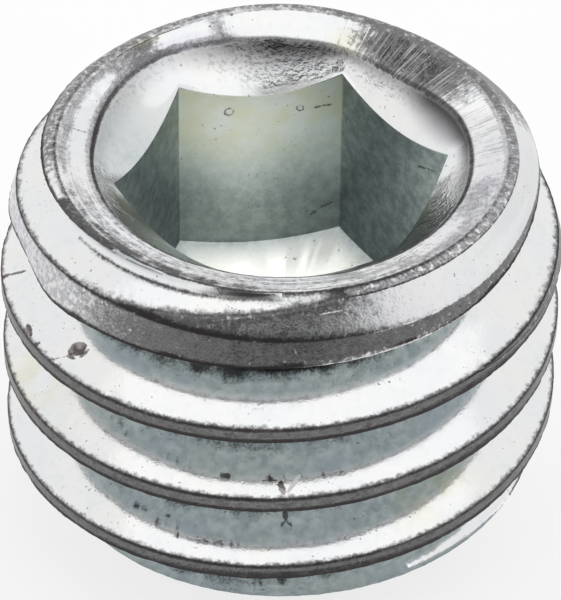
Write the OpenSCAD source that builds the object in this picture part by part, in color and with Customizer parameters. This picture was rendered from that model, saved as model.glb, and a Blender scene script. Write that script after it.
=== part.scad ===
// Grub set screw: a short headless screw with a hexagon socket and a flat point.
// Coarse metric thread, right-handed, rolled on a turned blank.
// Frame: +Z runs from the point to the socket, and the origin is the centre of the point's face.
// Units: millimetres and degrees.

/* [Body] */
// Length from the point's face to the rim's outer edge, before that edge is rounded
body_l = 6; // [5:0.1:16]
// Diameter of the flat face at the point
point_d = 5.2; // [3:0.1:6]
// Angle of the point's chamfer, measured from its face
point_chamfer_a = 42; // [20:1:60]

/* [Thread] */
// Diameter over the full crests
thread_d = 7.8; // [7.5:0.05:8.2]
// Distance from one crest to the next
pitch = 1.25; // [1:0.05:1.4]
// Width of the flat on a crest
crest_w = 0.22; // [0.12:0.01:0.3]
// Angle between the two flanks of the groove
flank_a = 60; // [55:1:62]
// Radius at the bottom of the groove
root_r = 0.12; // [0.06:0.01:0.14]
// Where the groove starts round the axis, from +X
thread_start_a = 340; // [0:1:359]

/* [Thread ends] */
// Diameter of the rim at the socket's end, over its outer edge
rim_d = 6.36; // [6:0.02:6.8]
// Angle of the chamfer outside the rim, measured from the end face
rim_chamfer_a = 48; // [30:1:60]
// Depth of the chamfer outside the rim
rim_chamfer_h = 0.46; // [0.2:0.02:0.6]
// Length over which the crests fill out below that chamfer
rim_lead_l = 1.16; // [0.6:0.02:1.6]
// Radius that rounds the rim's outer edge
rim_edge_r = 0.2; // [0.06:0.01:0.26]

/* [Socket] */
// Distance across the flats of the hexagon
socket_af = 4.02; // [3:0.02:4.4]
// Depth of the hexagon's corners below the rim
socket_h = 3.22; // [2:0.02:3.6]
// Angle of one corner of the hexagon round the axis, from +X
socket_a = 9; // [0:1:59]
// Angle of the cone at the bottom of the socket, from side to side
floor_cone_a = 140; // [120:1:170]

/* [Socket mouth] */
// Diameter of the mouth, where the rim ends
mouth_d = 5.2; // [4.9:0.05:5.6]
// How far the rim dips from its outer edge to the mouth
rim_dip = 0.2; // [0:0.02:0.3]
// Angle of the mouth's cone, from side to side
mouth_cone_a = 100; // [90:1:120]
// Radius that rounds the edge between the rim and the mouth
mouth_edge_r = 0.1; // [0.04:0.01:0.14]

/* [Fineness] */
// Steps in one turn of the groove
steps_per_turn = 48; // [36:6:72]
// Steps across the rounded bottom of the groove
root_steps = 2; // [1:1:5]
// Steps in a rounded edge
arc_steps = 4; // [3:1:8]

/* [Hidden] */

thread_r = thread_d / 2;
rim_r = rim_d / 2;
mouth_r = mouth_d / 2;
point_r = point_d / 2;

// Heights of the blank's turning points, from the point's face upwards
point_chamfer_z = (thread_r - point_r) * tan(point_chamfer_a);
rim_chamfer_z = body_l - rim_chamfer_h;
rim_full_z = rim_chamfer_z - rim_lead_l;
rim_chamfer_r = rim_r + rim_chamfer_h / tan(rim_chamfer_a);

// Groove section: its depth follows from its width between the crests and the radius at its bottom
groove_mouth_w = pitch - crest_w;
groove_h = groove_mouth_w / 2 / tan(flank_a / 2) - root_r * (1 / sin(flank_a / 2) - 1);

// The flanks are drawn on past the crests, so that the cut is clean
groove_over = 0.1;
groove_turns = ceil(body_l / pitch) + 2;
groove_steps = groove_turns * steps_per_turn;

// The mouth's cone ends inside the hexagon, clear of its flats
cone_end_r = socket_af / 2 - 0.2;

// Cutters reach this far past the face they open through
cut_over = 1;

// Points on an arc, from angle a0 to a1
function arc(c, r, a0, a1, n) =
    [for (i = [0:n]) c + r * [cos(a0 + (a1 - a0) * i / n), sin(a0 + (a1 - a0) * i / n)]];

// Rounded corner of a profile: the arc of radius r that touches the lines a-b and b-c at the corner b
function rounded(a, b, c, r, n) =
    let (
        u = (a - b) / norm(a - b),
        v = (c - b) / norm(c - b),
        half = acos(u * v) / 2,
        mid = (u + v) / norm(u + v),
        centre = b + mid * r / sin(half),
        from = b + u * r / tan(half) - centre,
        to = b + v * r / tan(half) - centre,
        a0 = atan2(from[1], from[0]),
        turn = atan2(from[0] * to[1] - from[1] * to[0], from * to)
    )
    arc(centre, r, a0, a0 + turn, n);

// Blank before the thread is rolled: its two chamfers, its rim and the cone of the socket's mouth
module blank() {
    chamfer_end = [rim_chamfer_r, rim_chamfer_z];
    rim_out = [rim_r, body_l];
    rim_in = [mouth_r, body_l - rim_dip];
    cone_end = [cone_end_r, rim_in[1] - (mouth_r - cone_end_r) / tan(mouth_cone_a / 2)];
    rotate_extrude($fn = 96)
        polygon(concat(
            [
                [0, 0],
                [point_r, 0],
                [thread_r, point_chamfer_z],
                [thread_r, rim_full_z],
                chamfer_end
            ],
            rounded(chamfer_end, rim_out, rim_in, rim_edge_r, arc_steps),
            rounded(rim_out, rim_in, cone_end, mouth_edge_r, arc_steps),
            [cone_end, [0, cone_end[1]]]
        ));
}

// Section of the thread groove, as [radius, height] about the groove's own middle
function groove_section() =
    let (
        half_a = flank_a / 2,
        bottom = thread_r - groove_h,
        centre_r = bottom + root_r,
        top_w = groove_mouth_w / 2 + groove_over * tan(half_a),
        root_arc = arc([centre_r, 0], root_r, 270 - half_a, 90 + half_a, root_steps)
    )
    concat(
        [[thread_r + groove_over, -top_w]],
        root_arc,
        [[thread_r + groove_over, top_w]]
    );

// Helical groove, one turn past each end of the body
module thread_groove() {
    section = groove_section();
    n = len(section);
    rings = [
        for (i = [0:groove_steps])
            let (a = thread_start_a + 360 * i / steps_per_turn, z = pitch * (i / steps_per_turn - 1))
                for (p = section) [p[0] * cos(a), p[0] * sin(a), p[1] + z]
    ];
    sides = [
        for (i = [0:groove_steps - 1], j = [0:n - 1])
            let (k = (j + 1) % n)
                each [
                    [i * n + j, (i + 1) * n + k, i * n + k],
                    [i * n + j, (i + 1) * n + j, (i + 1) * n + k]
                ]
    ];
    first = [for (j = [0:n - 1]) j];
    last = [for (j = [n - 1:-1:0]) groove_steps * n + j];
    polyhedron(points = rings, faces = concat(sides, [first, last]), convexity = 8);
}

// Hexagon socket with the shallow cone that its punch leaves
module socket() {
    corner_r = socket_af / 2 / cos(30);
    floor_z = body_l - socket_h;
    cone_h = corner_r / tan(floor_cone_a / 2);
    intersection() {
        translate([0, 0, floor_z - cone_h])
            rotate([0, 0, socket_a])
                cylinder(r = corner_r, h = socket_h + cone_h + cut_over, $fn = 6);
        rotate_extrude($fn = 96)
            polygon([
                [0, floor_z - cone_h],
                [corner_r, floor_z],
                [corner_r + cut_over, floor_z],
                [corner_r + cut_over, body_l + cut_over],
                [0, body_l + cut_over]
            ]);
    }
}

module grub_screw() {
    color("lightsteelblue")
        difference() {
            blank();
            thread_groove();
            socket();
        }
}

grub_screw();
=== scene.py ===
import math
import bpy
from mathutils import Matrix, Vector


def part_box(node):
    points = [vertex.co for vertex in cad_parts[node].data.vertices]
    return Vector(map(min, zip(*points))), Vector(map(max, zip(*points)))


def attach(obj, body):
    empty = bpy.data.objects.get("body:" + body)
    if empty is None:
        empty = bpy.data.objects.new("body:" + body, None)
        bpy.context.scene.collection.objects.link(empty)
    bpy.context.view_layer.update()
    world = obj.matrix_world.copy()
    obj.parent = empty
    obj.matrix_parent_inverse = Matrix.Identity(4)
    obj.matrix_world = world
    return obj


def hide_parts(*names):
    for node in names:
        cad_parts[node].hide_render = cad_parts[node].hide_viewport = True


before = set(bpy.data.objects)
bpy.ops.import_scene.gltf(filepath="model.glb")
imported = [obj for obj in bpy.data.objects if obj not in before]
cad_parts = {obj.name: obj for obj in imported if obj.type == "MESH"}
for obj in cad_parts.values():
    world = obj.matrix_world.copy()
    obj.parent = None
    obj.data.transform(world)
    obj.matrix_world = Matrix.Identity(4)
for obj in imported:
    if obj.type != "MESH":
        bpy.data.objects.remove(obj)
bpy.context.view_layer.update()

from types import SimpleNamespace

import bpy
import numpy as np
from mathutils import Matrix, Vector, noise

MM = 0.001

# ---- Sizes of the screw, in millimetres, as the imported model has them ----
BODY_L = 6.0
POINT_R = 2.6
POINT_CHAMFER_A = math.radians(42)
THREAD_R = 3.9
PITCH = 1.25
CREST_W = 0.22
HALF_FLANK_A = math.radians(30)
ROOT_R = 0.12
THREAD_START = 340 / 360
RIM_R = 3.18
RIM_CHAMFER_H = 0.46
RIM_CHAMFER_A = math.radians(48)
RIM_LEAD_L = 1.16
RIM_DIP = 0.2
RIM_EDGE_R = 0.2
MOUTH_EDGE_R = 0.1
MOUTH_R = 2.6
MOUTH_HALF_A = math.radians(50)
SOCKET_HALF_AF = 2.01
SOCKET_H = 3.22
SOCKET_A = math.radians(9)
# The one that differs: 4 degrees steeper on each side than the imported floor, as its reflection shows
FLOOR_HALF_A = math.radians(66)

# ---- What follows from them ----
GROOVE_HALF_W = (PITCH - CREST_W) / 2
GROOVE_H = GROOVE_HALF_W / math.tan(HALF_FLANK_A) - ROOT_R * (1 / math.sin(HALF_FLANK_A) - 1)
ROOT_CENTRE_R = THREAD_R - GROOVE_H + ROOT_R
ROOT_HALF_W = ROOT_R * math.cos(HALF_FLANK_A)
ROOT_TANGENT_R = ROOT_CENTRE_R - ROOT_R * math.sin(HALF_FLANK_A)
CHAMFER_Z = (THREAD_R - POINT_R) * math.tan(POINT_CHAMFER_A)
RIM_CHAMFER_Z = BODY_L - RIM_CHAMFER_H
RIM_FULL_Z = RIM_CHAMFER_Z - RIM_LEAD_L
RIM_CHAMFER_R = RIM_R + RIM_CHAMFER_H / math.tan(RIM_CHAMFER_A)
MOUTH_Z = BODY_L - RIM_DIP
CORNER_R = SOCKET_HALF_AF / math.cos(math.radians(30))
FLOOR_Z = BODY_L - SOCKET_H
FLOOR_MIDDLE_Z = FLOOR_Z - CORNER_R / math.tan(FLOOR_HALF_A)
# The socket's back wall, in degrees, with a little to spare at its corners
BACK_WALL_A = math.degrees(SOCKET_A) + 90
BACK_WALL_HALF_A = 30.4

# ---- Fineness of the mesh ----
COLUMNS = 480
ROW_STEP = 0.075
MIN_GAP = 0.012
SUPPORT_GAP = 0.018
WALL_TOP_GAP = 0.06
CROSSING_SAMPLES = 3000
CHAMFER_ROWS = 5
RIM_ARC_STEPS = 12
RIM_STEPS = 12
MOUTH_ARC_STEPS = 4
MOUTH_STEPS = 9
WALL_TOP_STEPS = 2
WALL_STEPS = 12
FLOOR_STEPS = 6
SHARP_A = math.radians(40)

# Regions of the surface, from the point round to the socket's floor
POINT, THREAD, LEAD, CHAMFER, EDGE, RIM, LIP, MOUTH, WALL, FLOOR = range(10)


def line(a, b, steps):
    """Points from a to b, without a, as (radius, height)."""
    return [
        (a[0] + (b[0] - a[0]) * i / steps, a[1] + (b[1] - a[1]) * i / steps)
        for i in range(1, steps + 1)
    ]


def rounded(a, b, c, r, steps):
    """Arc of radius r that rounds the corner b between the lines a-b and b-c."""
    a, b, c = Vector(a), Vector(b), Vector(c)
    u, v = (a - b).normalized(), (c - b).normalized()
    half = math.acos(u.dot(v)) / 2
    centre = b + (u + v).normalized() * r / math.sin(half)
    start = b + u * r / math.tan(half) - centre
    end = b + v * r / math.tan(half) - centre
    turn = math.atan2(start.x * end.y - start.y * end.x, start.dot(end))
    first = math.atan2(start.y, start.x)
    return [
        (centre.x + r * math.cos(first + turn * i / steps), centre.y + r * math.sin(first + turn * i / steps))
        for i in range(steps + 1)
    ]


# ---- Outline of the blank, as (radius, height) ----
CHAMFER_END = (RIM_CHAMFER_R, RIM_CHAMFER_Z)
RIM_OUT = (RIM_R, BODY_L)
RIM_IN = (MOUTH_R, MOUTH_Z)
CONE_END = (SOCKET_HALF_AF, MOUTH_Z - (MOUTH_R - SOCKET_HALF_AF) / math.tan(MOUTH_HALF_A))
RIM_ARC = rounded(CHAMFER_END, RIM_OUT, RIM_IN, RIM_EDGE_R, RIM_ARC_STEPS)
MOUTH_ARC = rounded(RIM_OUT, RIM_IN, CONE_END, MOUTH_EDGE_R, MOUTH_ARC_STEPS)
RIM_ARC_R, RIM_ARC_Z = RIM_ARC[0]
TOP = max(range(len(RIM_ARC)), key=lambda i: RIM_ARC[i][1])
TOP_Z = RIM_ARC[TOP][1]

BLANK_POINTS = [(POINT_R, 0), (THREAD_R, CHAMFER_Z), (THREAD_R, RIM_FULL_Z), CHAMFER_END] + RIM_ARC[: TOP + 1]
BLANK_Z = np.array([p[1] for p in BLANK_POINTS])
BLANK_R = np.array([p[0] for p in BLANK_POINTS])


def blank_radius(z):
    """Radius of the blank's outside, before the thread is rolled."""
    return np.interp(z, BLANK_Z, BLANK_R)


def groove_distance(z, turn):
    """Distance along the axis from the middle of the nearest groove."""
    d = z / PITCH - (turn - THREAD_START)
    return (d - np.round(d)) * PITCH


def bare_thread_radius(z, turn):
    """Radius of the groove's section, whose flanks run on past the crests."""
    d = np.abs(groove_distance(z, turn))
    root = ROOT_CENTRE_R - np.sqrt(np.maximum(ROOT_R**2 - d**2, 0))
    flank = ROOT_TANGENT_R + (d - ROOT_HALF_W) / math.tan(HALF_FLANK_A)
    return np.where(d < ROOT_HALF_W, root, flank)


def thread_radius(z, turn):
    """Radius of the groove's section between full crests."""
    return np.minimum(bare_thread_radius(z, turn), THREAD_R)


# Rows within one pitch, from one crest's middle up to the next, closest at the crests' edges
CREST_EDGE = PITCH / 2 - CREST_W / 2
THREAD_ROWS = (
    [-PITCH / 2, -CREST_EDGE - 0.055, -CREST_EDGE - 0.02, -CREST_EDGE, -CREST_EDGE + 0.015]
    + list(np.linspace(-CREST_EDGE + 0.05, -ROOT_HALF_W - 0.05, 7))
    + [-ROOT_HALF_W, -ROOT_HALF_W / 2, 0, ROOT_HALF_W / 2, ROOT_HALF_W]
    + list(np.linspace(ROOT_HALF_W + 0.07, CREST_EDGE - 0.07, 5))
    + [CREST_EDGE - 0.015, CREST_EDGE, CREST_EDGE + 0.02, CREST_EDGE + 0.055]
)
# Grooves that can cross one column: the body's, and some past each of its ends
GROOVES = math.ceil(BODY_L / PITCH) + 4
BLANK_ROWS = sorted(
    set(np.arange(0.0, CHAMFER_Z, ROW_STEP))
    | set(np.arange(RIM_FULL_Z, RIM_CHAMFER_Z, ROW_STEP))
    | set(np.linspace(RIM_CHAMFER_Z, RIM_ARC_Z, CHAMFER_ROWS))
    | {p[1] for p in RIM_ARC[1:TOP]}
)


def crossings_at(turn):
    """Heights at one azimuth where the groove's section meets the blank's outside."""
    z = np.linspace(0, TOP_Z - MIN_GAP, CROSSING_SAMPLES)
    gap = thread_radius(z, turn) - blank_radius(z)
    i = np.nonzero((gap[:-1] > 0) != (gap[1:] > 0))[0]
    return list(z[i] + (z[i + 1] - z[i]) * gap[i] / (gap[i] - gap[i + 1]))


def rows_at(turn):
    """Rows of the outside at one azimuth, as (height, region where it is known, 1 on an edge that is cut)."""
    first = math.floor(-(turn - THREAD_START)) - 1
    grooves = [PITCH * (turn - THREAD_START + n) for n in range(first, first + GROOVES)]
    rows = [(z, True) for g in grooves for z in (g + d for d in THREAD_ROWS) if 0 < z < TOP_Z - MIN_GAP]
    rows += [(z, False) for z in BLANK_ROWS if z < TOP_Z - MIN_GAP]
    rows.sort()
    z = np.array([row[0] for row in rows])
    of_thread = np.array([row[1] for row in rows])
    # Of the thread's rows and the blank's, those on whichever surface is the inner one stay
    gap = thread_radius(z, turn) - blank_radius(z)
    kept = [(height, THREAD, 0) for height in z[of_thread & (gap <= 0)]]
    kept += [(height, None, 0) for height in z[~of_thread & (gap > 0)]]
    crossings = crossings_at(turn)
    kept = [row for row in kept if all(abs(row[0] - c) > 2 * SUPPORT_GAP for c in crossings)]
    for c in crossings:
        kept += [(c - SUPPORT_GAP, None, 0), (c, None, 1), (c + SUPPORT_GAP, None, 0)]
    kept += [(TOP_Z, None, 0)]
    kept.sort(key=lambda row: row[0])
    return kept


def outer_column(turn):
    """Radii, heights, regions and edge marks of the outside at one azimuth, from the point's edge up."""
    out = []
    for z, region, edge in rows_at(turn):
        r = float(min(thread_radius(z, turn), blank_radius(z)))
        if z > TOP_Z or (out and math.hypot(z - out[-1][1], r - out[-1][0]) < MIN_GAP / 2):
            continue
        if region is None and thread_radius(z, turn) < blank_radius(z) - 1e-6:
            region = THREAD
        elif region is None:
            region = POINT if z < CHAMFER_Z else LEAD if z < RIM_CHAMFER_Z else CHAMFER
        out.append((r, float(z), region, edge))
    return out


def inner_column(azimuth):
    """Radii, heights, regions and edge marks from the rim's top, over the mouth and down the socket."""
    side = (azimuth - SOCKET_A) % math.radians(60) - math.radians(30)
    wall_r = SOCKET_HALF_AF / math.cos(side)
    edge_z = MOUTH_Z - (MOUTH_R - wall_r) / math.tan(MOUTH_HALF_A)
    foot_z = FLOOR_Z - (CORNER_R - wall_r) / math.tan(FLOOR_HALF_A)
    wall_top = (wall_r, edge_z)
    below_top = (wall_r, edge_z - WALL_TOP_GAP)
    foot = (wall_r, foot_z)
    rows = [(p, EDGE) for p in RIM_ARC[TOP + 1 :]]
    rows += [(p, RIM) for p in line(RIM_ARC[-1], MOUTH_ARC[0], RIM_STEPS)[:-1]]
    rows += [(p, LIP) for p in MOUTH_ARC]
    rows += [(p, MOUTH) for p in line(MOUTH_ARC[-1], wall_top, MOUTH_STEPS)]
    rows += [(p, WALL) for p in line(wall_top, below_top, WALL_TOP_STEPS)]
    rows += [(p, WALL) for p in line(below_top, foot, WALL_STEPS)]
    rows += [(p, FLOOR) for p in line(foot, (0, FLOOR_MIDDLE_Z), FLOOR_STEPS)[:-1]]
    return [(p[0], p[1], region, 0) for p, region in rows]


def zipped(a, b, place):
    """Triangles between two columns of vertices, each made with the shorter of the two next diagonals."""
    faces = []
    i = j = 0
    while i < len(a) - 1 or j < len(b) - 1:
        if j == len(b) - 1:
            step_a = True
        elif i == len(a) - 1:
            step_a = False
        else:
            up_a = np.sum((place[a[i + 1]] - place[b[j]]) ** 2)
            up_b = np.sum((place[b[j + 1]] - place[a[i]]) ** 2)
            step_a = up_a < up_b
        if step_a:
            faces.append((a[i], b[j], a[i + 1]))
            i += 1
        else:
            faces.append((a[i], b[j], b[j + 1]))
            j += 1
    return faces


def build_mesh():
    """Closed mesh of the whole screw: places, faces, and what is known of each vertex."""
    # Two rings on the point's face, as shares of its radius
    spread = [(share * POINT_R, 0.0, POINT, 0) for share in (0.35, 0.75)]
    table, columns = [], []
    for c in range(COLUMNS):
        azimuth = SOCKET_A + 2 * math.pi * c / COLUMNS
        outer = spread + outer_column(azimuth / (2 * math.pi))
        inner = inner_column(azimuth)
        columns.append(range(len(table), len(table) + len(outer)))
        table += [(azimuth, *row) for row in outer + inner]
    bottom, middle = len(table), len(table) + 1
    table += [(0, 0, 0, POINT, 0), (0, 0, FLOOR_MIDDLE_Z, FLOOR, 0)]
    azimuth, radius, height, region, edge = np.array(table).T
    place = np.column_stack([radius * np.cos(azimuth), radius * np.sin(azimuth), height])
    faces = []
    for c, a in enumerate(columns):
        b = columns[(c + 1) % COLUMNS]
        faces += zipped(a, b, place)
        # The inside has as many rows in each column, and starts from the rim's top
        p, q = a[-1], b[-1]
        faces += [(p + k, q + k, q + k + 1, p + k + 1) for k in range(len(inner))]
        faces.append((bottom, b[0], a[0]))
        faces.append((middle, p + len(inner), q + len(inner)))
    return place, faces, Skin(place, azimuth, radius, height, region.astype(int), edge)


def wrapped(azimuth, centre):
    """Degrees round the axis from centre, from -180 to 180."""
    return (azimuth - centre + 180) % 360 - 180


def hump(distance, half_width):
    """1 in the middle, falling smoothly to 0 at half_width."""
    t = np.clip(1 - np.abs(distance) / half_width, 0, 1)
    return t * t * (3 - 2 * t)


def rise(value, low, high):
    """0 below low and 1 above high, with a smooth step between."""
    t = np.clip((value - low) / (high - low), 0, 1)
    return t * t * (3 - 2 * t)


def strongest(*layers):
    """At each vertex the highest of the layers."""
    return np.maximum.reduce(layers)


def noise_at(points, size, octaves, shift):
    """Fractal noise, about -1 to 1, whose largest features are about size millimetres apart."""
    falloff, lacunarity = 1.0, 2.0
    places = points / size + shift
    return np.array([noise.fractal(Vector(p), falloff, lacunarity, octaves) for p in places])


def ring_points(azimuth, along_axis, stretch_round, stretch_axis):
    """Points that unroll the surface without a seam, stretched round the axis and along it."""
    return np.column_stack(
        [
            THREAD_R * np.cos(azimuth) / stretch_round,
            THREAD_R * np.sin(azimuth) / stretch_round,
            along_axis / stretch_axis,
        ]
    )


def at(azimuth, radius, height):
    """Place in millimetres of a point given by its azimuth in degrees, its radius and its height."""
    a = math.radians(azimuth)
    return Vector((radius * math.cos(a), radius * math.sin(a), height))


class Skin:
    """The screw's vertices: where each lies on the surface, and the noise at its place."""

    def __init__(self, place, azimuth, radius, height, region, edge):
        turn = azimuth / (2 * math.pi)
        self.place = place
        self.azimuth = azimuth
        self.degrees = np.degrees(azimuth) % 360
        self.radius = radius
        self.height = height
        self.region = region
        self.edge = edge
        self.groove = groove_distance(height, turn)
        # Distance along the axis from a crest's edge: above 0 on its flank, and below 0 on the crest
        self.below_crest = (blank_radius(height) - bare_thread_radius(height, turn)) * math.tan(HALF_FLANK_A)

        self.on = on = {part: region == part for part in range(FLOOR + 1)}
        self.upper = on[THREAD] & (self.groove < 0)
        self.lower = on[THREAD] & (self.groove > 0)
        self.crest = on[THREAD] & (self.below_crest <= 0)
        self.outside = region < EDGE
        self.on_cones = on[LEAD] | on[CHAMFER]
        self.on_arc = on[EDGE] | (on[CHAMFER] & (height > RIM_ARC_Z))
        self.on_face = on[RIM] | on[LIP]
        self.on_rim = on[EDGE] | self.on_face
        self.back_wall = np.abs(wrapped(self.degrees, BACK_WALL_A)) < BACK_WALL_HALF_A
        self.inwards = RIM_ARC_R - radius
        # 0 at the rim's outer edge and 1 at the mouth
        self.rim_t = np.clip((RIM_R - radius) / (RIM_R - MOUTH_R), 0, 1)
        side = (self.degrees - math.degrees(SOCKET_A)) % 60 - 30
        wall_r = SOCKET_HALF_AF / np.cos(np.radians(side))
        # 0 at the mouth's lip and 1 where the hexagon begins
        self.mouth_t = np.clip((MOUTH_R - radius) / np.maximum(MOUTH_R - wall_r, 0.1), 0, 1)

        self.fine = noise_at(place, size=0.09, octaves=2, shift=3.7)
        self.middle = noise_at(place, size=0.28, octaves=3, shift=11.3)
        self.broad = noise_at(place, size=1.1, octaves=3, shift=27.1)

    def along(self, knots):
        """Value at each vertex from (azimuth, value) knots that go once round."""
        angles, values = zip(*sorted(knots))
        return np.interp(self.degrees, angles, values, period=360)

    def near(self, centre, half_width):
        """1 at one azimuth, falling smoothly to 0 at half_width degrees from it."""
        return hump(wrapped(self.degrees, centre), half_width)


# ---- Wear, as the screw shows it: azimuth in degrees from +X, amount from 0 to 1 ----
# Middle and half width of the side towards the viewer, where grime and painted shade are strongest
FRONT = (256, 72)
# Steel that shows through the zinc on the rim's face, in its outer, middle and inner lane
RIM_OUTER_WEAR = [
    (5, 0.3), (14, 0.25), (27, 0.3), (36, 0.95), (64, 0.95), (74, 0.35), (104, 0.15), (109, 0.7),
    (114, 0.3), (122, 0.3), (128, 0.75), (160, 0.7), (190, 0.7), (205, 0.5), (228, 0.5), (245, 0.6),
    (290, 0.65), (318, 0.7), (345, 0.5),
]
RIM_MIDDLE_WEAR = [
    (0, 0.45), (22, 0.35), (34, 0.95), (60, 0.98), (70, 0.4), (77, 0.0), (104, 0.0), (108, 0.8),
    (113, 0.2), (124, 0.25), (130, 0.7), (142, 0.65), (150, 0.15), (188, 0.15), (200, 0.5), (235, 0.5),
    (255, 0.45), (285, 0.5), (305, 0.5), (318, 0.25), (328, 0.35), (337, 0.75), (346, 0.7), (353, 0.25),
]
RIM_INNER_WEAR = [
    (8, 0.35), (25, 0.35), (36, 0.85), (56, 0.8), (68, 0.3), (98, 0.25), (108, 0.85), (150, 0.9),
    (185, 0.75), (205, 0.55), (232, 0.45), (262, 0.35), (300, 0.5), (318, 0.3), (338, 0.65), (352, 0.4),
]
# Where the rim's outer lane gives way to the middle one, from 0 at its outer edge to 1 at the mouth
RIM_OUTER_TO = [
    (5, 0.15), (30, 0.25), (60, 0.25), (75, 0.1), (108, 0.1), (120, 0.2), (130, 0.5), (185, 0.48),
    (202, 0.2), (232, 0.14), (290, 0.25), (312, 0.45), (332, 0.55), (348, 0.3),
]
# How pale the bare steel is on the rim, the chamfer below it and the first crest
RIM_TONE = [
    (5, 0.95), (22, 0.85), (36, 0.4), (58, 0.32), (70, 0.55), (100, 0.8), (122, 0.75), (131, 0.5),
    (142, 0.7), (190, 0.8), (215, 0.6), (240, 0.55), (262, 0.6), (300, 0.7), (345, 0.85),
]
CHAMFER_TONE = [
    (10, 0.6), (24, 0.42), (80, 0.42), (150, 0.55), (225, 0.5), (266, 0.5), (285, 0.52), (300, 0.6),
]
LEAD_TONE = [(10, 0.5), (60, 0.5), (150, 0.7), (180, 1.0), (215, 0.9), (240, 0.55), (275, 0.4), (318, 0.55)]
# Steel that shows through on the two cones below the rim
CHAMFER_WEAR = [
    (8, 0.1), (20, 0.6), (34, 0.9), (80, 0.8), (150, 0.7), (215, 0.9), (245, 0.85), (262, 0.8),
    (284, 0.7), (297, 0.12), (345, 0.05),
]
LEAD_WEAR = [(15, 0.8), (60, 0.8), (150, 0.6), (200, 0.4), (222, 0.55), (236, 0.9), (270, 1.0), (330, 0.75)]
# Steel on the rim's rounded outer edge
ARC_WEAR = [
    (20, 0.7), (45, 0.7), (100, 0.6), (150, 0.65), (185, 0.6), (205, 0.1), (272, 0.1), (284, 0.7),
    (330, 0.62), (350, 0.65),
]
# Dark lines round the rim's outermost edge, just inside it and round the mouth's lip
OUTER_LINE = [(20, 0.3), (60, 0.3), (180, 0.4), (215, 0.9), (340, 0.8)]
RIM_LINE = [(10, 0.5), (60, 0.0), (100, 0.3), (150, 0.6), (200, 0.85), (290, 0.95), (330, 0.7)]
LIP_LINE = [(10, 0.8), (60, 0.3), (100, 0.4), (130, 0.5), (170, 0.9), (225, 0.75), (300, 0.8), (345, 0.9)]
# How strongly the wear follows streaks across the rim, rings round it and speckles on the cones below it
RIM_STREAKS = [(5, 0.85), (26, 0.9), (50, 1), (75, 0.55), (102, 0.4), (116, 0), (340, 0.1)]
RIM_RINGS = [(60, 0), (120, 0.15), (190, 0.5), (215, 1), (270, 1), (305, 0.7), (330, 0.1)]
CONE_SPECKLES = [(90, 0.3), (190, 0.5), (235, 1), (320, 1), (352, 0.3)]
# Forged wrinkles of the mouth, and how far they reach from its lip towards the hexagon
WRINKLE_AMOUNT = [
    (8, 0.2), (30, 0.5), (50, 0.9), (100, 1.0), (125, 0.8), (150, 0.5), (180, 0.4), (205, 0.6),
    (240, 0.5), (325, 0.7), (348, 0.6),
]
WRINKLE_REACH = [
    (8, 0.3), (30, 0.3), (50, 0.6), (70, 0.95), (98, 0.95), (122, 0.45), (150, 0.3), (180, 0.3),
    (205, 0.8), (240, 0.9), (325, 1.0), (348, 0.9),
]
# Grime in the mouth: how strong it is, and how far it reaches from the lip towards the hexagon
MOUTH_GRIME = [
    (8, 1.0), (34, 1.0), (46, 0.6), (62, 0.6), (76, 0.95), (92, 1.0), (108, 0.75), (124, 0.3),
    (330, 0.3), (356, 0.7),
]
GRIME_REACH = [
    (2, 0.4), (14, 0.8), (26, 0.75), (40, 0.5), (50, 0.3), (64, 0.4), (78, 0.7), (95, 0.7),
    (112, 0.5), (330, 0.3),
]

# Heights in millimetres that part the thread's turns at the front
LAST_CREST_TO = CHAMFER_Z + 0.9
UPPER_TURN_FROM = 4.0
FIRST_CREST_FROM = 4.2
RUN_OUT_FROM = 5.3
BESIDE_RIM_FROM = 5.7
# Heights between which the first crest's lobes set in, and those of its lower edge set in and end
CREST_LOBES_IN = (4.55, 5.0)
CREST_FOOT_IN = (4.5, 4.75)
CREST_FOOT_OUT = (4.95, 5.15)
# Heights between which the back wall's painted light grows, and between which it turns yellow
WALL_PALE_IN = (3.4, 5.1)
WALL_YELLOW_IN = (3.8, 4.9)

# Where the rim's outer edge, the mouth and the first crest depart from round: middle, half width, millimetres
RIM_LOBES = [(92, 34, 0.07), (55, 30, -0.02), (20, 30, -0.03)]
MOUTH_LOBES = [(128, 50, 0.2), (50, 32, -0.17)]
CREST_LOBES = [(343, 44, -0.11)]
CREST_FOOT_LOBES = [(198, 18, -0.1), (220, 14, 0.03)]

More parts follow.
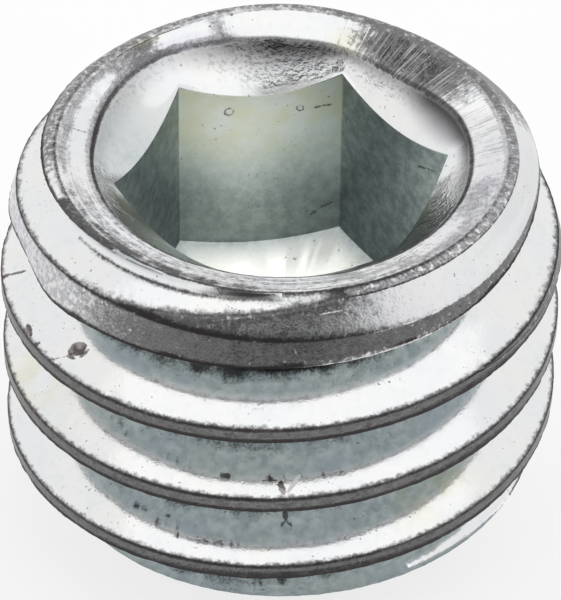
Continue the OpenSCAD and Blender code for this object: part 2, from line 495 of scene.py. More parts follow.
# Single marks, as points of azimuth, radius and height: half width, then the points
DARK_MARKS = [
    (0.04, [(187, 3.89, 3.96), (187.6, 3.78, 4.02)]),
    (0.028, [(187.6, 3.78, 4.02), (189.2, 3.56, 4.16)]),
    (0.012, [(216.5, 3.9, 4.06), (219, 3.76, 4.14), (220.6, 3.62, 4.24)]),
    (0.03, [(222.4, 3.64, 4.225), (222.9, 3.5, 4.305)]),
    (0.02, [(219.6, 3.72, 4.18), (221.8, 3.68, 4.2)]),
    (0.03, [(211, 3.88, 4.05), (211.6, 3.82, 4.08)]),
    (0.016, [(78.5, 2.155, 5.0), (75.5, 2.19, 5.02), (71.5, 2.26, 5.035)]),
    (0.018, [(24.6, 2.07, 4.96), (19.2, 2.13, 5.04), (14, 2.2, 5.11)]),
    (0.018, [(78.9, 2.14, 3.04), (76.5, 2.16, 3.14), (70.7, 2.28, 3.26)]),
    (0.022, [(104, 3.03, 5.947), (104, 3.04, 5.95)]),
    (0.02, [(110.6, 2.89, 5.9), (110.8, 2.88, 5.898)]),
    (0.01, [(172, 2.94, 5.917), (171, 2.66, 5.82)]),
    (0.04, [(271.9, 3.2, 2.15), (272.1, 3.32, 2.08)]),
    (0.022, [(272.1, 3.32, 2.08), (273.5, 3.4, 2.04)]),
    (0.018, [(272, 3.32, 2.08), (270.9, 3.4, 2.03)]),
    (0.014, [(266.8, 3.665, 3.12), (270.1, 3.655, 3.13)]),
    (0.03, [(244.2, 3.435, 1.92), (244.4, 3.43, 1.92)]),
]
STEEL_MARKS = [
    (0.11, [(219.6, 3.64, 4.225), (221.2, 3.52, 4.295)]),
    (0.05, [(205, 3.8, 4.07), (208.5, 3.84, 4.05)]),
    (0.05, [(270.7, 3.68, 3.12), (271.3, 3.83, 3.04)]),
]
# Painted highlights, drawn as matt white: a glint on a burr of the thread, and a bright line on the chamfer
PAINTED_HIGHLIGHT_MARKS = [
    (0.026, [(272, 3.82, 3.05), (274.8, 3.61, 3.18)]),
    (0.01, [(279, 3.37, 5.79), (287, 3.35, 5.8)]),
]
# Small rings that a tool's end left on the back wall: azimuth, radius, height, the ring's radius
RING_MARKS = [(111.6, 2.06, 5.05, 0.06), (83.3, 2.088, 5.015, 0.045)]
RING_LINE_HALF_W = 0.007


def mouth_wrinkles(skin):
    """How strongly the mouth is wrinkled, from 0 to 1."""
    reach = skin.along(WRINKLE_REACH)
    fade = rise(skin.mouth_t + 0.2 * skin.middle, reach * 0.6, reach + 0.1)
    return skin.along(WRINKLE_AMOUNT) * (1 - fade) * (skin.on[MOUTH] | skin.on[LIP])


def first_crest_lip(skin):
    """1 on a stretch of the first crest's lower edge that is drawn as plain pale zinc, without wear or
    darkening.
    """
    lower_side = (skin.on[LEAD] | skin.on[THREAD]) * (skin.groove > 0) * (skin.height > FIRST_CREST_FROM)
    return lower_side * skin.near(292, 24) ** 0.5 * hump(skin.below_crest + 0.005, 0.03)


def lobes(skin, shapes):
    """How far the surface departs from round, in millimetres."""
    return sum(amount * skin.near(centre, half_width) for centre, half_width, amount in shapes)


def uneven_places(skin):
    """Places of the vertices, moved by the screw's own unevenness and kept inside the blank's box."""
    on, thread, outside, height = skin.on, skin.on[THREAD], skin.outside, skin.height
    fine, middle, broad = skin.fine, skin.middle, skin.broad
    out = np.zeros(len(skin.place))
    up = np.zeros(len(skin.place))

    # The rim and the mouth aren't quite round, and the rim's face isn't quite even
    rim_grip = np.clip(rise(height, RIM_CHAMFER_Z, RIM_ARC_Z) * outside + (skin.on_rim | on[MOUTH]), 0, 1)
    inward = np.where(skin.region >= RIM, rise(skin.rim_t, 0.0, 1.0), 0)
    lobe = lobes(skin, RIM_LOBES) * (1 - inward) + lobes(skin, MOUTH_LOBES) * inward
    out += lobe * rim_grip * np.where(on[MOUTH], 1 - rise(skin.mouth_t, 0.0, 0.9), 1)
    up += (0.006 * middle + 0.018 * broad * skin.rim_t) * skin.on_rim

    # The first crest is flattened in some places and pushed out in others
    off_root = rise(skin.radius, 3.2, 3.5)
    crest_grip = outside * rise(height, *CREST_LOBES_IN) * off_root
    foot_grip = outside * rise(height, *CREST_FOOT_IN) * (1 - rise(height, *CREST_FOOT_OUT)) * off_root
    out += lobes(skin, CREST_LOBES) * crest_grip + lobes(skin, CREST_FOOT_LOBES) * foot_grip

    # Crest edges are ragged, flanks are wavy, and the last crest is a little low
    crest_edge = hump(skin.below_crest, 0.06) * thread
    out += crest_edge * (0.008 * np.minimum(fine, 0.3) + 0.012 * np.minimum(middle, 0.2) - 0.003)
    up += crest_edge * 0.006 * fine * (skin.groove < 0)
    out += skin.edge * 0.008 * fine
    out += thread * rise(skin.below_crest, 0.02, 0.2) * (0.0015 * middle + 0.006 * broad)
    near_point = rise(LAST_CREST_TO - height, 0, 1.2) * thread * rise(-skin.below_crest, -0.1, 0.02)
    out -= 0.03 * near_point

    # The mouth is wrinkled, and the two cones below the rim are rough
    wrinkle = mouth_wrinkles(skin)
    folds = noise_at(ring_points(skin.azimuth, skin.radius, 0.16, 0.07), size=1.0, octaves=2, shift=5.1)
    out -= 0.003 * wrinkle * folds
    up += 0.006 * wrinkle * folds
    out += skin.on_cones * 0.003 * fine * (1 - skin.edge)

    moved = skin.place.copy()
    moved[:, 0] += out * np.cos(skin.azimuth)
    moved[:, 1] += out * np.sin(skin.azimuth)
    moved[:, 2] = np.clip(moved[:, 2] + up, 0, TOP_Z)
    reach_out = np.hypot(moved[:, 0], moved[:, 1])
    moved[:, :2] *= np.minimum(1, THREAD_R / np.maximum(reach_out, 1e-6))[:, None]
    return moved


def bare_steel(skin):
    """How much of the zinc is worn off, from 0 to 1."""
    on = skin.on
    bare = np.where(skin.upper, np.interp(-skin.below_crest, [-0.1, -0.03, 0.0], [0, 0.3, 0.9]), 0)
    bare = np.where(skin.lower, np.interp(-skin.below_crest, [-0.04, 0.0], [0, 1]), bare)
    bare = np.where(skin.crest, 1, bare)
    outer_to = skin.along(RIM_OUTER_TO)
    outer_lane = 1 - rise(skin.rim_t, outer_to - 0.15, outer_to + 0.15)
    inner_lane = rise(skin.rim_t, 0.7, 0.95)
    middle_lane = np.clip(1 - outer_lane - inner_lane, 0, 1)
    rim_wear = skin.along(RIM_OUTER_WEAR) * outer_lane + skin.along(RIM_MIDDLE_WEAR) * middle_lane
    rim_wear += skin.along(RIM_INNER_WEAR) * inner_lane
    bare = np.where(skin.on_face, rim_wear, bare)
    # The chamfer's foot keeps some frosted zinc at the front
    frost = hump(skin.height - RIM_CHAMFER_Z - 0.13, 0.13) * skin.near(276, 26)
    bare = np.where(on[CHAMFER], skin.along(CHAMFER_WEAR) * (1 - 0.75 * frost), bare)
    bare = np.where(skin.on_arc, skin.along(ARC_WEAR), bare)
    bare = np.where(on[LEAD], skin.along(LEAD_WEAR), bare)
    bare = np.where(on[POINT], 0.12, bare)
    return bare * (1 - first_crest_lip(skin))


def steel_tone(skin):
    """How pale the bare steel is: near black at 0, and pale at 1."""
    tone = np.full(len(skin.place), 0.52)
    tone = np.where(skin.on_rim, skin.along(RIM_TONE), tone)
    tone = np.where(skin.on[CHAMFER], skin.along(CHAMFER_TONE), tone)
    return np.where(skin.on[LEAD], skin.along(LEAD_TONE), tone)


def crest_grime_and_shade(skin):
    """Grime on each crest's upper edge, in the seams and on edges the cones cut; painted shading on its lower
    edge.
    """
    on, below_crest = skin.on, skin.below_crest
    upper_edge = hump(below_crest, 0.035) * skin.upper * 0.8
    crest_top = (on[LEAD] | skin.crest) & (skin.groove < 0)
    crest_top = crest_top * hump(below_crest, 0.085) * (0.5 + 0.45 * skin.near(*FRONT))
    # Painted shade: the dark line along each crest's lower edge, where shade falls under it
    underside = ((skin.on_cones | skin.crest) & (skin.groove > 0)) | skin.lower
    foot_line = rise(below_crest, -0.085, -0.045) * (1 - rise(below_crest, 0.0, 0.03))
    seam = skin.crest * hump(np.abs(skin.groove) - PITCH / 2, 0.05)
    seam_reach = np.where(skin.height < LAST_CREST_TO, skin.near(275, 60), skin.near(314, 32) * 0.8)
    cut_edge = skin.edge * np.where(skin.radius < RIM_CHAMFER_R, 0.4, 1)
    grime = strongest(upper_edge, crest_top, underside * foot_line * 0.95, seam * seam_reach * 0.8, cut_edge)
    return grime * (1 - first_crest_lip(skin))


def rim_grime_and_shade(skin):
    """Dark lines and bands on the chamfer below the rim, on the rim itself and on the mouth's lip, and
    painted shading on the chamfer's front.
    """
    on, inwards = skin.on, skin.inwards
    above_foot = skin.height - RIM_CHAMFER_Z
    foot_line = hump(above_foot - 0.02, 0.09) * skin.on_cones * (0.35 + 0.9 * skin.near(*FRONT))
    foot_band = hump(above_foot - 0.03, 0.12) * on[CHAMFER] * 0.6 * skin.near(280, 34)
    # Painted shade: the front of the chamfer a little darker
    chamfer = on[CHAMFER] * 0.2 * skin.near(256, 40)
    outer_line = hump(inwards - 0.01, 0.045) * skin.on_arc * skin.along(OUTER_LINE)
    rim_line = hump(inwards - 0.165, 0.07) * (skin.on_arc | skin.on_rim) * skin.along(RIM_LINE)
    rim_band = hump(inwards - 0.25, 0.2) * skin.on_rim * skin.near(238, 58) ** 0.5
    rim_band = rim_band * (0.85 + 0.4 * skin.middle)
    lip_line = on[LIP] * skin.along(LIP_LINE)
    return strongest(foot_line, foot_band, chamfer, outer_line, rim_line, rim_band, lip_line)


def groove_grime_and_shade(skin):
    """Grime and painted shading at the groove's bottom, patches on its lower flanks, specks on its upper ones
    and a painted reflection edge.
    """
    thread, height, groove, below_crest = skin.on[THREAD], skin.height, skin.groove, skin.below_crest
    middle, broad, front = skin.middle, skin.broad, skin.near(*FRONT)
    # Grime and painted shade at the groove's bottom, stronger towards the viewer
    root = thread * hump(groove + 0.08, 0.07 + (0.05 + 0.1 * front) * (1 + 0.5 * broad))
    root_amount = 0.3 + 0.38 * front + 0.3 * middle + 0.2 * (height > UPPER_TURN_FROM)
    root = root * (height < RUN_OUT_FROM) * root_amount
    beside_rim = thread * (height > BESIDE_RIM_FROM) * skin.near(238, 50) ** 0.5
    beside_rim = beside_rim * hump(groove + 0.1, 0.035) * 0.95
    patches = rise(noise_at(skin.place, size=0.6, octaves=4, shift=61.0), 0.28, 0.5)
    patches = skin.lower * rise(below_crest, 0.05, 0.1) * patches * 0.4
    # Fine specks on the inner part of each upper flank, and a ragged row of them along its border, which
    # paints the edge of a reflection
    specks_from = 0.1 + 0.55 * (1 - np.cos(np.radians(wrapped(skin.degrees, 270)))) ** 0.9
    inner_part = skin.upper * (height < RUN_OUT_FROM) * rise(below_crest, specks_from, specks_from + 0.05)
    inner_part = inner_part * (0.34 + 0.1 * broad)
    border = skin.upper * (height < UPPER_TURN_FROM)
    border = border * hump(below_crest - specks_from - 0.03 - 0.03 * middle, 0.05)
    border = border * (0.55 + 0.5 * middle + 1.1 * skin.fine) * front
    return strongest(root, beside_rim, patches, inner_part, border)


def soft_grime_and_painted_shade(skin):
    """Soft dark parts: grime in the mouth, painted shading on the chamfer's front, and smudges on the
    socket's floor.
    """
    on, degrees, amount = skin.on, skin.degrees, skin.along(MOUTH_GRIME)
    mouth = on[MOUTH] * amount * (1 - rise(skin.mouth_t, 0.06, skin.along(GRIME_REACH) + 0.15))
    lip = on[LIP] * amount * 0.8
    # Painted shade: the chamfer's front and the thread's run-out beside the rim darkened
    chamfer = (on[CHAMFER] & ~skin.on_arc) * rise(degrees, 205, 230)
    run_out = on[THREAD] * rise(skin.height, 5.55, BESIDE_RIM_FROM) * rise(degrees, 272, 277)
    front = strongest(chamfer, run_out) * 0.2 * (1 - rise(degrees, 278, 296))
    smudge = rise(noise_at(skin.place, size=0.3, octaves=3, shift=83.0), 0.1, 0.5) * skin.near(76, 40)
    smudge = on[FLOOR] * smudge * rise(skin.radius, 1.0, 1.7) * 0.35
    return strongest(mouth, lip, front, smudge)


def yellow_stain(skin):
    """Yellow stains on the back wall, on two stretches of the thread and on two of the rim."""
    thread, height = skin.on[THREAD], skin.height
    return strongest(
        skin.on[WALL] * skin.back_wall * rise(height, *WALL_YELLOW_IN) * 0.7,
        thread * skin.near(202, 24) * hump(height - 2.9, 0.7) * 0.6,
        thread * skin.near(308, 16) * hump(height - 2.2, 0.5) * 0.8,
        skin.on_rim * 0.6 * skin.near(134, 14) * (1 - rise(skin.rim_t, 0.4, 0.6)),
        skin.on_rim * skin.near(70, 9) * 0.7,
    )


def violet_tint(skin):
    """Faint violet tints on the rim, the two cones below it and the mouth."""
    on, on_rim = skin.on, skin.on_rim
    return strongest(
        on_rim * skin.near(352, 18) * hump(skin.rim_t - 0.5, 0.5),
        on_rim * skin.near(125, 36) * rise(skin.rim_t, 0.5, 0.7),
        on_rim * skin.near(322, 18) * 0.7,
        on[LEAD] * skin.near(198, 30) * 0.7,
        on[CHAMFER] * 0.6 * skin.near(298, 14),
        on[MOUTH] * skin.near(22, 26) * hump(skin.mouth_t - 0.45, 0.4),
    )


def underside_and_socket_shade(skin):
    """Painted shading: how much of the darker grey-green zinc is on the lower flanks and walls, and a little
    on the mouth's left side.
    """
    green = np.where(skin.lower, rise(skin.below_crest, 0, 0.06), 0) + np.where(skin.on[WALL], 1.0, 0)
    return np.where(skin.on[MOUTH], 0.5 * skin.near(170, 46), green)


def socket_painted_light(skin):
    """Painted light: how much paler the socket's back wall grows towards its top, and how pale its floor is.
    """
    back_wall = skin.on[WALL] * skin.back_wall * (0.35 + 0.9 * rise(skin.height, *WALL_PALE_IN))
    return back_wall + skin.on[FLOOR] * 1.4


def wear_layers(skin):
    """What the material reads at each vertex, by name."""
    return {
        "bare": bare_steel(skin),
        "tone": steel_tone(skin),
        # Grime, painted shade and a painted reflection edge
        "dark": strongest(crest_grime_and_shade(skin), rim_grime_and_shade(skin), groove_grime_and_shade(skin)),
        # Painted shade on the lower flanks and the socket's walls
        "green": underside_and_socket_shade(skin),
        "streak": skin.on_face * skin.along(RIM_STREAKS),
        "rings": skin.on_rim * skin.along(RIM_RINGS),
        "speckle": skin.on_cones * skin.along(CONE_SPECKLES),
        "stain": yellow_stain(skin),
        "wrinkle": mouth_wrinkles(skin),
        # Grime in the mouth, smudges, and painted shade on the chamfer's front
        "soft_grime_and_shade": soft_grime_and_painted_shade(skin),
        # Painted light in the socket
        "pale": socket_painted_light(skin),
        "inside": skin.on[WALL] + 0.5 * skin.on[FLOOR],
        "violet": violet_tint(skin),
    }


def add_object(name, data):
    """New object, linked to the scene."""
    made = bpy.data.objects.new(name, data)
    bpy.context.scene.collection.objects.link(made)
    return made


def add_body():
    """The screw's visual mesh, with what the material reads stored at each vertex."""
    place, faces, skin = build_mesh()
    mesh = bpy.data.meshes.new("grub_screw_body")
    mesh.from_pydata(uneven_places(skin) * MM, [], faces)
    rest = mesh.attributes.new("rest", "FLOAT_VECTOR", "POINT")
    rest.data.foreach_set("vector", place.ravel())
    unrolled = mesh.attributes.new("unrolled", "FLOAT_VECTOR", "POINT")
    across = np.where(skin.region >= EDGE, skin.radius, skin.height)
    unrolled.data.foreach_set("vector", ring_points(skin.azimuth, across, 1, 1).ravel())
    for name, values in wear_layers(skin).items():
        layer = mesh.attributes.new(name, "FLOAT", "POINT")
        layer.data.foreach_set("value", np.asarray(values, dtype=np.float32))
    if mesh.validate(verbose=True):
        raise ValueError("the screw's mesh has faulty faces")
    body = add_object("grub_screw_body", mesh)
    mesh.polygons.foreach_set("use_smooth", [True] * len(mesh.polygons))
    mesh.set_sharp_from_angle(angle=SHARP_A)
    return body


class Graph:
    """Short calls for building a material's nodes. A value is a number, a colour or a socket."""

    def __init__(self, material):
        material.use_nodes = True
        self.nodes = material.node_tree.nodes
        self.links = material.node_tree.links
        self.shader = self.nodes["Principled BSDF"]

    def feed(self, socket, value):
        """Links a socket or sets a constant."""
        if isinstance(value, bpy.types.NodeSocket):
            self.links.new(value, socket)
        else:
            socket.default_value = value

    def read(self, name, output="Fac"):
        """What the mesh holds under this name."""
        node = self.nodes.new("ShaderNodeAttribute")
        node.attribute_name = name
        return node.outputs[output]

    def math(self, operation, a, b=0.0, c=0.0):
        """One step of arithmetic on numbers."""
        node = self.nodes.new("ShaderNodeMath")
        node.operation = operation
        for socket, value in zip(node.inputs, (a, b, c)):
            self.feed(socket, value)
        return node.outputs[0]

    def centred(self, value, amount):
        """Noise from 0 to 1 made to swing by half the amount each way."""
        return self.math("MULTIPLY", self.math("SUBTRACT", value, 0.5), amount)

    def vector(self, operation, a, b):
        """One step of arithmetic on vectors."""
        node = self.nodes.new("ShaderNodeVectorMath")
        node.operation = operation
        self.feed(node.inputs[0], a)
        self.feed(node.inputs[1], b)
        return node.outputs["Value" if operation == "DISTANCE" else "Vector"]

    def noise(self, vector, size, detail=3.0, roughness=0.5):
        """Fractal noise from 0 to 1 with features about size millimetres apart."""
        node = self.nodes.new("ShaderNodeTexNoise")
        self.feed(node.inputs["Vector"], vector)
        node.inputs["Scale"].default_value = 1 / size
        node.inputs["Detail"].default_value = detail
        node.inputs["Roughness"].default_value = roughness
        return node.outputs["Fac"]

    def step(self, value, low, high):
        """0 at low and 1 at high, with a smooth step between, whichever of them is the higher."""
        node = self.nodes.new("ShaderNodeMapRange")
        node.interpolation_type = "SMOOTHSTEP"
        self.feed(node.inputs["Value"], value)
        node.inputs["From Min"].default_value = low
        node.inputs["From Max"].default_value = high
        return node.outputs["Result"]

    def mix(self, factor, a, b):
        """Colour a where factor is 0 and b where it is 1."""
        node = self.nodes.new("ShaderNodeMix")
        node.data_type = "RGBA"
        # Some sockets share a name, so they go by number
        self.feed(node.inputs[0], factor)
        self.feed(node.inputs[6], (*a, 1) if isinstance(a, tuple) else a)
        self.feed(node.inputs[7], (*b, 1) if isinstance(b, tuple) else b)
        return node.outputs[2]

    def mark_distance(self, place, marks):
        """Rough distance in millimetres from the nearest mark, each an ellipse about its line's ends."""
        nearest = 1.0
        for half_width, points in marks:
            for start, end in zip(points, points[1:]):
                start, end = at(*start), at(*end)
                length = math.hypot((end - start).length, 2 * half_width)
                from_start = self.vector("DISTANCE", place, start)
                reach = self.math("ADD", from_start, self.vector("DISTANCE", place, end))
                steepness = length / (4 * half_width)
                away = self.math("MULTIPLY_ADD", reach, steepness, -length * steepness)
                nearest = self.math("MINIMUM", nearest, away)
        return nearest

    def ring_distance(self, place, rings, half_width):
        """Distance in millimetres from place to the nearest ring, less half the width of its line."""
        nearest = 1.0
        for azimuth, radius, height, ring_radius in rings:
            away = self.vector("DISTANCE", place, at(azimuth, radius, height))
            away = self.math("ABSOLUTE", self.math("SUBTRACT", away, ring_radius))
            nearest = self.math("MINIMUM", nearest, self.math("SUBTRACT", away, half_width))
        return nearest

    def bump(self, height):
        """Normal of a relief whose height is in millimetres."""
        node = self.nodes.new("ShaderNodeBump")
        node.inputs["Distance"].default_value = MM
        self.feed(node.inputs["Height"], height)
        return node.outputs["Normal"]


# ---- Colours, as linear red, green and blue ----
ZINC_COOL = (0.72, 0.735, 0.75)
ZINC_WARM = (0.755, 0.755, 0.745)
ZINC_MOTTLE = (0.62, 0.64, 0.65)
# Painted shade: darker grey-green copies of the zinc for the lower flanks and the socket's walls
FLANK_DARK = (0.23, 0.29, 0.3)
FLANK_PALE = (0.42, 0.475, 0.475)
FLANK_BLUE = (0.27, 0.34, 0.39)
SOCKET_DARK = (0.3, 0.36, 0.37)
SOCKET_PALE = (0.6, 0.665, 0.66)
# Painted light on the socket's back wall and floor
SOCKET_BRIGHT = (0.93, 0.95, 0.9)
# Painted shade in creases
CREASE_SHADE = (0.3, 0.31, 0.31)
STEEL_BLACK = (0.035, 0.034, 0.034)
STEEL_GREY = (0.178, 0.174, 0.176)
STEEL_PALE = (0.52, 0.525, 0.54)
HAIRLINE = (0.46, 0.45, 0.44)
YELLOW_TINT = (0.93, 0.9, 0.7)
VIOLET_TINT = (0.93, 0.92, 0.97)
# Soft grime, and painted shade on the chamfer's front
SOFT_GRIME_AND_SHADE = (0.05, 0.047, 0.05)
# Grime, and painted shade under the crests and in the groove
GRIME_AND_SHADE = (0.042, 0.038, 0.038)
FLAKE_DARK = (0.1, 0.09, 0.085)
FLAKE_PALE = (0.3, 0.28, 0.27)
DARK_MARK = (0.045, 0.041, 0.04)
# Painted highlights
PAINTED_HIGHLIGHT_WHITE = (0.95, 0.95, 0.95)


def surface_patterns(g):
    """The noises that all parts of the zinc plate's look share."""
    rest, unrolled = g.read("rest", "Vector"), g.read("unrolled", "Vector")
    return SimpleNamespace(
        rest=rest,
        unrolled=unrolled,
        grain=g.noise(rest, 0.035, 3),
        mottle=g.noise(rest, 0.16, 4, 0.6),
        cloud=g.noise(rest, 0.9, 3),
        ragged=g.noise(rest, 0.09, 4, 0.65),
        hair=g.noise(g.vector("MULTIPLY", unrolled, (1, 1, 0.05)), 0.034, 2),
        ring=g.noise(g.vector("MULTIPLY", unrolled, (0.01, 0.01, 1)), 0.04, 1),
    )


def zinc_colour(g, on):
    """Zinc plate, with faint clouds, painted shading on its undersides, walls and creases, and painted light
    in the socket.
    """
    zinc = g.mix(g.step(on.cloud, 0.35, 0.65), ZINC_COOL, ZINC_WARM)
    zinc = g.mix(g.math("MULTIPLY", g.step(on.mottle, 0.45, 0.75), 0.3), zinc, ZINC_MOTTLE)
    # Painted shade: a darker grey-green copy of the zinc on the lower flanks, the socket's walls and the
    # mouth's left side
    green = g.step(g.math("ADD", on.mottle, g.centred(on.grain, 0.5)), 0.3, 0.7)
    green = g.mix(green, FLANK_DARK, FLANK_PALE)
    green = g.mix(g.step(on.cloud, 0.5, 0.72), green, FLANK_BLUE)
    inside = g.step(g.math("ADD", on.mottle, g.centred(on.grain, 0.4)), 0.3, 0.72)
    inside = g.mix(inside, SOCKET_DARK, SOCKET_PALE)
    green = g.mix(g.read("inside"), green, inside)
    zinc = g.mix(g.math("MULTIPLY", g.read("green"), 0.9), zinc, green)
    # Painted light: the socket's back wall paler towards its top, and its floor paler
    zinc = g.mix(g.math("MULTIPLY", g.read("pale"), 0.7), zinc, SOCKET_BRIGHT)
    on.yellow = g.math("MULTIPLY", g.read("stain"), g.step(g.noise(on.rest, 0.5, 3), 0.35, 0.6))
    on.folds = g.noise(g.vector("MULTIPLY", on.unrolled, (1, 1, 2.2)), 0.09, 2)
    # Painted shade in the creases of the mouth's wrinkles
    crease_shade = g.math("MULTIPLY", g.read("wrinkle"), g.step(on.folds, 0.5, 0.66))
    return g.mix(g.math("MULTIPLY", crease_shade, 0.55), zinc, CREASE_SHADE)


def worn_border(g, on):
    """How far past the zinc's border a place lies, ragged and following radial or round brush marks."""
    border = g.math("ADD", g.read("bare"), g.centred(on.ragged, 1.0))
    border = g.math("ADD", border, g.math("MULTIPLY", g.centred(on.hair, 1.8), g.read("streak")))
    border = g.math("ADD", border, g.math("MULTIPLY", g.centred(on.ring, 1.5), g.read("rings")))
    return g.math("ADD", border, g.math("MULTIPLY", g.centred(on.ragged, 1.2), g.read("speckle")))


def steel_colour(g, on):
    """Bare steel, from near black to pale, and paler towards the zinc."""
    on.brushed = g.noise(g.vector("MULTIPLY", on.unrolled, (1, 1, 2)), 0.045, 3, 0.6)
    tone = g.math("ADD", g.read("tone"), g.centred(on.brushed, 1.0))
    tone = g.math("ADD", tone, g.centred(on.mottle, 0.6))
    tone = g.math("ADD", tone, g.math("MULTIPLY", g.centred(on.ragged, 1.6), g.read("speckle")))
    tone = g.math("ADD", tone, g.math("MULTIPLY", g.math("SUBTRACT", 0.75, on.border), 0.55))
    tone = g.math("ADD", tone, g.math("MULTIPLY", g.centred(on.hair, 2.0), g.read("streak")))
    tone = g.math("ADD", tone, g.math("MULTIPLY", g.centred(on.ring, 1.5), g.read("rings")))
    steel = g.mix(g.step(tone, -0.1, 0.5), STEEL_BLACK, STEEL_GREY)
    steel = g.mix(g.step(tone, 0.45, 1.05), steel, STEEL_PALE)
    hairline = g.math("MULTIPLY", g.step(on.hair, 0.54, 0.64), g.read("streak"))
    return g.mix(g.math("MULTIPLY", hairline, 0.6), steel, HAIRLINE)


def soiled(g, on, worn):
    """Zinc and steel under their stains, tints, grime, painted shading and pits."""
    worn = g.mix(on.yellow, worn, g.vector("MULTIPLY", worn, YELLOW_TINT))
    worn = g.mix(g.read("violet"), worn, g.vector("MULTIPLY", worn, VIOLET_TINT))
    # Grime in the mouth, smudges on the socket's floor, and painted shade on the chamfer's front
    worn = g.mix(g.read("soft_grime_and_shade"), worn, SOFT_GRIME_AND_SHADE)
    pit = g.step(g.noise(on.rest, 0.05, 1), 0.7, 0.76)
    pit_field = g.step(g.noise(on.rest, 0.6, 2), 0.45, 0.62)
    # Grime, with painted shade under the crests, at the groove's bottom and on the chamfer's front, and a
    # painted reflection edge
    dark = g.read("dark")
    grimy = g.math("ADD", g.centred(on.grain, 0.6), g.centred(on.mottle, 0.6))
    grimy = g.step(g.math("ADD", dark, grimy), 0.35, 0.9)
    on.grimy = g.math("MAXIMUM", grimy, g.math("MULTIPLY", g.math("MULTIPLY", pit, pit_field), 0.7))
    return g.mix(g.math("MULTIPLY", on.grimy, 0.93), worn, GRIME_AND_SHADE)


def marked(g, on, colour):
    """Colour with the single marks on top: flaked steel, then dark marks, then bright ones, which are painted
    highlights.
    """
    flake = g.math("ADD", g.mark_distance(on.rest, STEEL_MARKS), g.centred(on.ragged, 0.09))
    flake = g.step(flake, 0.012, -0.012)
    colour = g.mix(flake, colour, g.mix(g.step(on.mottle, 0.4, 0.6), FLAKE_DARK, FLAKE_PALE))
    mark = g.mark_distance(on.rest, DARK_MARKS)
    mark = g.math("MINIMUM", mark, g.ring_distance(on.rest, RING_MARKS, RING_LINE_HALF_W))
    mark = g.step(g.math("ADD", mark, g.centred(on.grain, 0.06)), 0.014, -0.014)
    colour = g.mix(g.math("MULTIPLY", mark, 0.85), colour, DARK_MARK)
    # Painted highlights: a glint on a burr and a bright line on the chamfer
    bright = g.math("ADD", g.mark_distance(on.rest, PAINTED_HIGHLIGHT_MARKS), g.centred(on.grain, 0.03))
    on.bright = g.step(bright, 0.01, -0.01)
    return g.mix(on.bright, colour, PAINTED_HIGHLIGHT_WHITE)


def surface_roughness(g, on):
    """Zinc is smooth, and what is worn, under grime and painted shading, wrinkled or inside the socket is
    rougher.
    """
    roughness = g.math("MULTIPLY_ADD", on.bare, 0.22, 0.1)
    roughness = g.math("MULTIPLY_ADD", on.grimy, 0.2, roughness)
    roughness = g.math("MULTIPLY_ADD", g.read("inside"), 0.25, roughness)
    roughness = g.math("MULTIPLY_ADD", g.read("wrinkle"), 0.12, roughness)
    roughness = g.math("MULTIPLY_ADD", g.read("speckle"), 0.15, roughness)
    roughness = g.math("MULTIPLY_ADD", on.bright, 0.35, roughness)
    return g.math("ADD", g.centred(on.mottle, 0.1), roughness)


def surface_relief(g, on):
    """Height in millimetres: grain, hollows under wear, grime and painted shading, brush marks and wrinkles.
    """
    relief = g.math("MULTIPLY", on.grain, 0.0008)
    relief = g.math("MULTIPLY_ADD", on.mottle, 0.0008, relief)
    relief = g.math("MULTIPLY_ADD", on.bare, -0.0012, relief)
    relief = g.math("MULTIPLY_ADD", on.grimy, -0.002, relief)
    relief = g.math("MULTIPLY_ADD", g.math("MULTIPLY", on.hair, g.read("streak")), 0.003, relief)
    relief = g.math("MULTIPLY_ADD", g.math("MULTIPLY", on.ring, g.read("rings")), 0.005, relief)
    relief = g.math("MULTIPLY_ADD", g.math("MULTIPLY", on.brushed, g.read("speckle")), 0.004, relief)
    return g.math("MULTIPLY_ADD", g.math("MULTIPLY", on.folds, g.read("wrinkle")), 0.012, relief)


def zinc_material():
    """Zinc-plated steel, worn to bare metal on the crests and the rim."""
    material = bpy.data.materials.new("zinc_plate")
    g = Graph(material)
    on = surface_patterns(g)
    zinc = zinc_colour(g, on)
    on.border = worn_border(g, on)
    on.bare = g.step(on.border, 0.3, 0.68)
    steel = steel_colour(g, on)
    colour = marked(g, on, soiled(g, on, g.mix(on.bare, zinc, steel)))
    g.feed(g.shader.inputs["Base Color"], colour)
    g.feed(g.shader.inputs["Roughness"], surface_roughness(g, on))
    g.feed(g.shader.inputs["Normal"], g.bump(surface_relief(g, on)))
    # The painted highlights are matt white, not metal
    g.feed(g.shader.inputs["Metallic"], g.math("SUBTRACT", 1.0, on.bright))
    return material


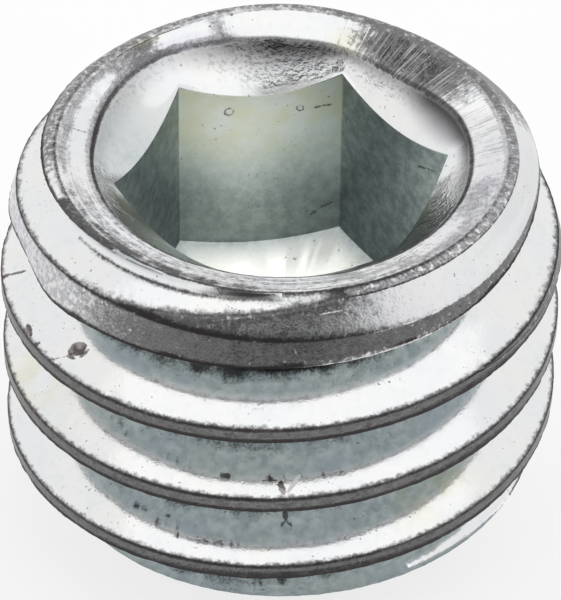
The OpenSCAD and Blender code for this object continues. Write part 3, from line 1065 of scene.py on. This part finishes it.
def add_floor():
    """Plain pale floor, mostly plain white to the camera and in the metal, so that its shadow is faint."""
    half_side = 0.6
    white_share = 0.7
    mesh = bpy.data.meshes.new("floor")
    corners = [(x * half_side, y * half_side, 0) for x, y in ((-1, -1), (1, -1), (1, 1), (-1, 1))]
    mesh.from_pydata(corners, [], [(0, 1, 2, 3)])
    floor = add_object("floor", mesh)
    material = bpy.data.materials.new("floor_paint")
    g = Graph(material)
    g.shader.inputs["Base Color"].default_value = (0.95, 0.95, 0.95, 1)
    g.shader.inputs["Roughness"].default_value = 0.9
    rays = g.nodes.new("ShaderNodeLightPath")
    seen = g.math("ADD", rays.outputs["Is Camera Ray"], rays.outputs["Is Glossy Ray"])
    seen.node.use_clamp = True
    seen = g.math("MAXIMUM", seen, rays.outputs["Is Transmission Ray"])
    white = g.nodes.new("ShaderNodeEmission")
    white.inputs["Strength"].default_value = 1.0
    mix = g.nodes.new("ShaderNodeMixShader")
    g.feed(mix.inputs[0], g.math("MULTIPLY", seen, white_share))
    g.feed(mix.inputs[1], g.shader.outputs[0])
    g.feed(mix.inputs[2], white.outputs[0])
    g.feed(g.nodes["Material Output"].inputs["Surface"], mix.outputs[0])
    mesh.materials.append(material)


def add_lamp(name, azimuth, elevation, distance, side, radiance):
    """Soft square lamp that faces the screw. Azimuth 0 is the camera's side and 90 is the right."""
    lamp = bpy.data.lights.new(name, "AREA")
    lamp.shape = "SQUARE"
    lamp.size = side
    lamp.energy = radiance * math.pi * side**2
    place = add_object(name, lamp)
    a, e = math.radians(azimuth), math.radians(elevation)
    towards = Vector((math.sin(a) * math.cos(e), -math.cos(a) * math.cos(e), math.sin(e)))
    place.location = towards * distance
    place.rotation_euler = towards.to_track_quat("Z", "Y").to_euler()


def add_world():
    """Pale all round and darker towards the viewer, as with studio lamps behind and beside the screw."""
    viewer_elevation = math.radians(30)
    dark_within = math.radians(20)
    pale_beyond = math.radians(43)
    pale_level, dark_level = 1.08, 0.05
    world = bpy.data.worlds.new("studio")
    bpy.context.scene.world = world
    world.use_nodes = True
    nodes, links = world.node_tree.nodes, world.node_tree.links
    place = nodes.new("ShaderNodeTexCoord")
    towards = nodes.new("ShaderNodeVectorMath")
    towards.operation = "DOT_PRODUCT"
    towards.inputs[1].default_value = (0, -math.cos(viewer_elevation), math.sin(viewer_elevation))
    level = nodes.new("ShaderNodeMapRange")
    level.interpolation_type = "SMOOTHSTEP"
    level.inputs["From Min"].default_value = math.cos(pale_beyond)
    level.inputs["From Max"].default_value = math.cos(dark_within)
    level.inputs["To Min"].default_value = pale_level
    level.inputs["To Max"].default_value = dark_level
    links.new(place.outputs["Generated"], towards.inputs[0])
    links.new(towards.outputs["Value"], level.inputs["Value"])
    links.new(level.outputs["Result"], nodes["Background"].inputs["Strength"])
    nodes["Background"].inputs["Color"].default_value = (1, 1, 1, 1)


def add_camera():
    """Camera in front of the screw and above it, with a long lens, rolled and shifted a little."""
    elevation = math.radians(40.17)
    roll = math.radians(0.76)
    distance = 63.375 * MM
    right_of_axis = 0.13 * MM
    below_top = 2.57 * MM
    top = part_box("grub_screw")[1].z
    aim = Vector((right_of_axis, 0, top - below_top))
    forward = Vector((0, math.cos(elevation), -math.sin(elevation)))
    camera = bpy.data.cameras.new("camera")
    camera.sensor_fit = "HORIZONTAL"
    camera.sensor_width = 36
    camera.lens = 290
    camera.shift_x = -0.0162
    camera.shift_y = -0.0182
    camera.clip_start = 0.001
    camera.clip_end = 10
    place = add_object("camera", camera)
    turn = forward.to_track_quat("-Z", "Y").to_matrix() @ Matrix.Rotation(roll, 3, "Z")
    place.matrix_world = Matrix.Translation(aim - forward * distance) @ turn.to_4x4()
    bpy.context.scene.camera = place


body = add_body()
body.data.materials.append(zinc_material())
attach(body, "root")
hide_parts("grub_screw")
add_floor()
add_world()
add_lamp("top_lamp", azimuth=180, elevation=84, distance=0.2, side=0.3, radiance=0.18)
add_camera()
bpy.context.scene.view_settings.view_transform = "Standard"
